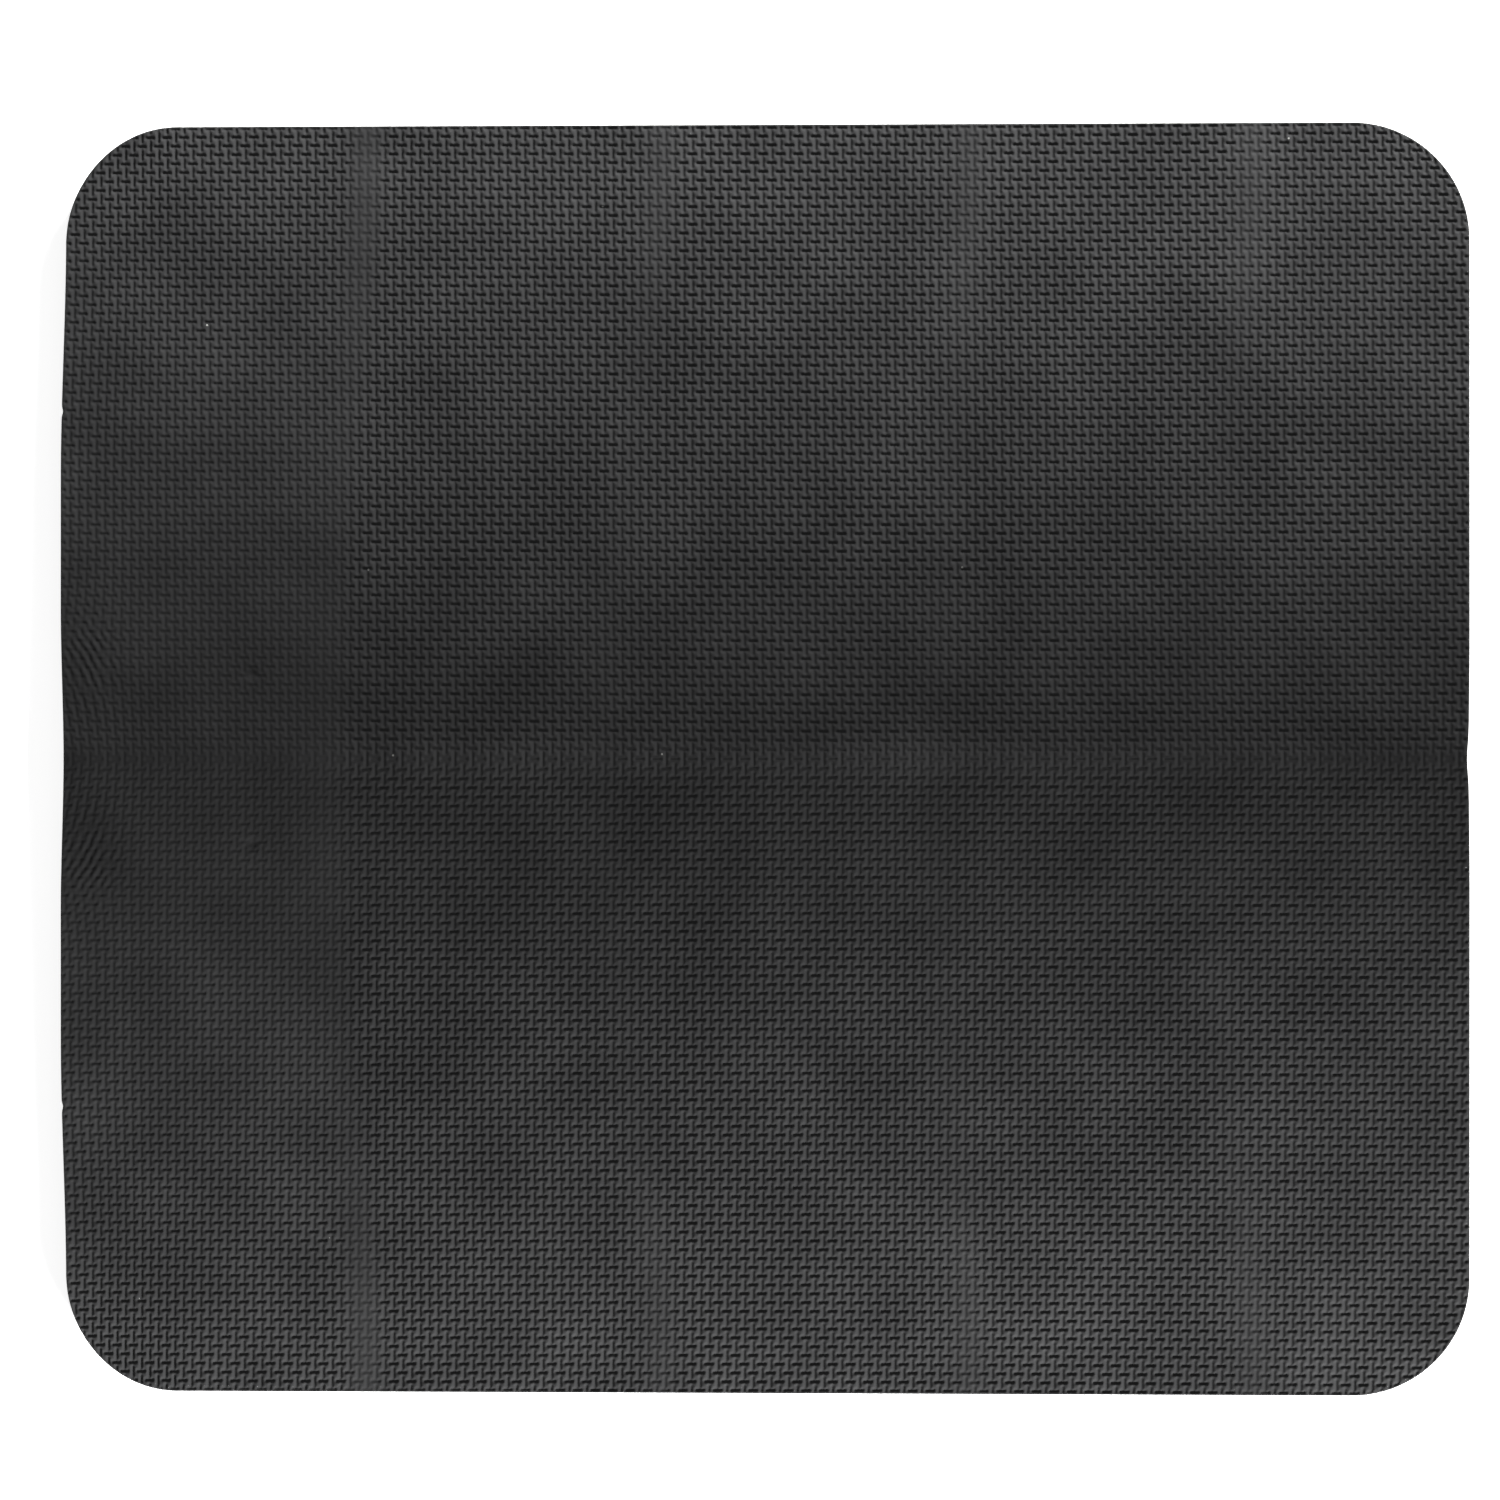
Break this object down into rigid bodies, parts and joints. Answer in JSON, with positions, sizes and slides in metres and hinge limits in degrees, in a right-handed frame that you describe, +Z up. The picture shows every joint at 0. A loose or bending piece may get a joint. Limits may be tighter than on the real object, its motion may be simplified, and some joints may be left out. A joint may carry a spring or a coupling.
{
  "type": "folding foam exercise mat",
  "caption": "Flat rounded-corner foam mat with an embossed top skin, folding in half along a middle hinge line so the embossed faces meet.",
  "frame": {"origin": "centre of the underside of the open mat, on the floor", "axes": "+X along the fold line, +Y across it towards the rear panel, +Z up out of the embossed face"},
  "size_m": [0.6, 0.54, 0.01],
  "materials": {
    "core_foam": "matte closed-cell foam, fine open pores where it is cut",
    "top_skin": "soft satin skin embossed with a small woven T pattern",
    "base_skin": "matte anti-slip skin with a shallow diagonal grid"
  },
  "bodies": {
    "front_panel": {"front_core": "core_foam", "front_top_skin": "top_skin", "front_base_skin": "base_skin"},
    "rear_panel": {"rear_core": "core_foam", "rear_top_skin": "top_skin", "rear_base_skin": "base_skin"}
  },
  "joints": [
    {"name": "fold", "type": "hinge", "parent": "front_panel", "child": "rear_panel", "pos_m": [0, 0, 0.01], "axis": [1, 0, 0], "range_deg": [0, 180]}
  ]
}
